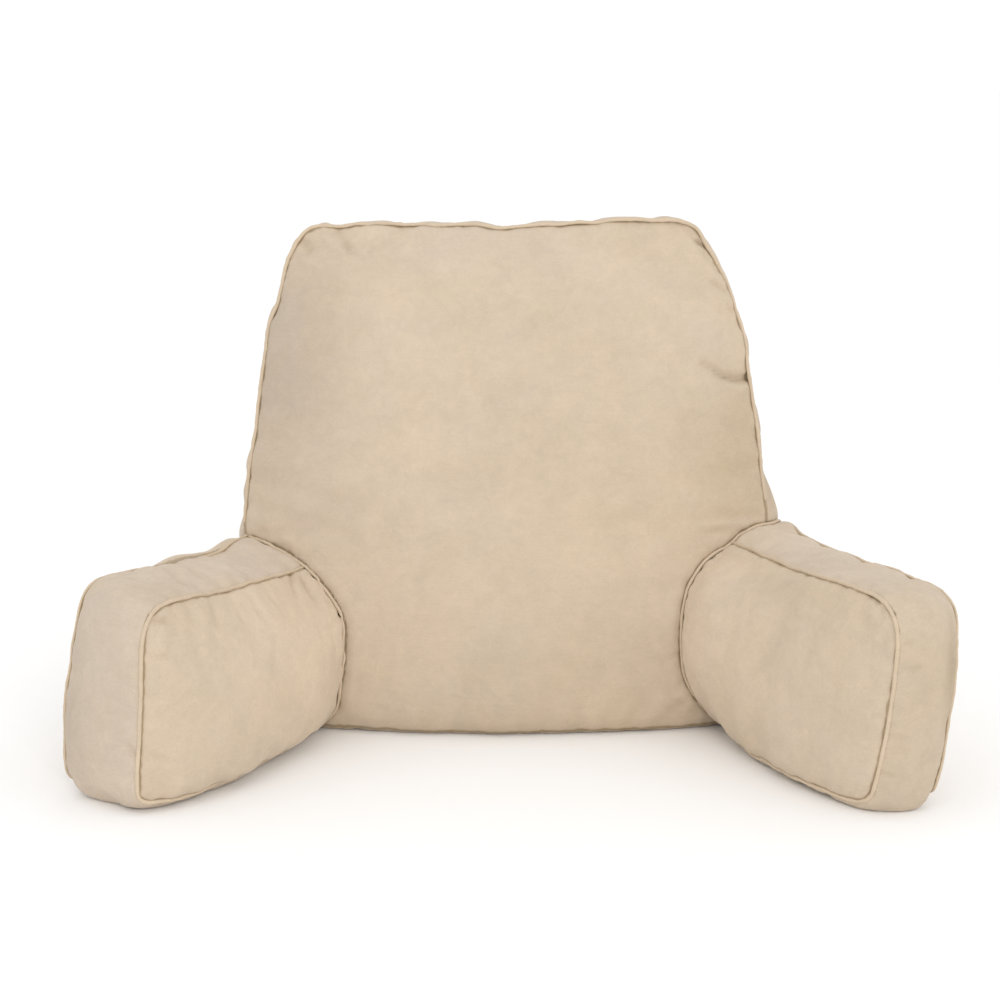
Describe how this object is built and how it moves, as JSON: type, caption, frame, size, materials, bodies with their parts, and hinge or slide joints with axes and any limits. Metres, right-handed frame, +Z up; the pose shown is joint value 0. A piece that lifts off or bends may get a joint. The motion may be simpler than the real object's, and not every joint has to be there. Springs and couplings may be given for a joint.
{
  "type": "reading pillow with arms",
  "caption": "Upright boxed back cushion with rounded shoulders and a splayed, block-like arm on each side, in soft beige suede-like cloth with self-coloured piping along the seams.",
  "frame": {"origin": "centre of the bounding box in plan, on the surface that the pillow stands on", "axes": "+X across the pillow, towards the arm on the right in the front view; +Y from the open front towards the back; +Z up"},
  "size_m": [0.7378, 0.4918, 0.462],
  "materials": {
    "fabric": "short brushed suede-like nap, matt, with a faint sheen",
    "piping": "the same brushed cloth folded over a thin cord, slightly lighter"
  },
  "bodies": {
    "root": {"back_cushion": "fabric", "arm_left": "fabric", "arm_right": "fabric", "piping_back_front": "piping", "piping_back_rear": "piping", "piping_left_joint": "piping", "piping_left_inner": "piping", "piping_left_outer": "piping", "piping_right_joint": "piping", "piping_right_inner": "piping", "piping_right_outer": "piping"}
  },
  "joints": []
}
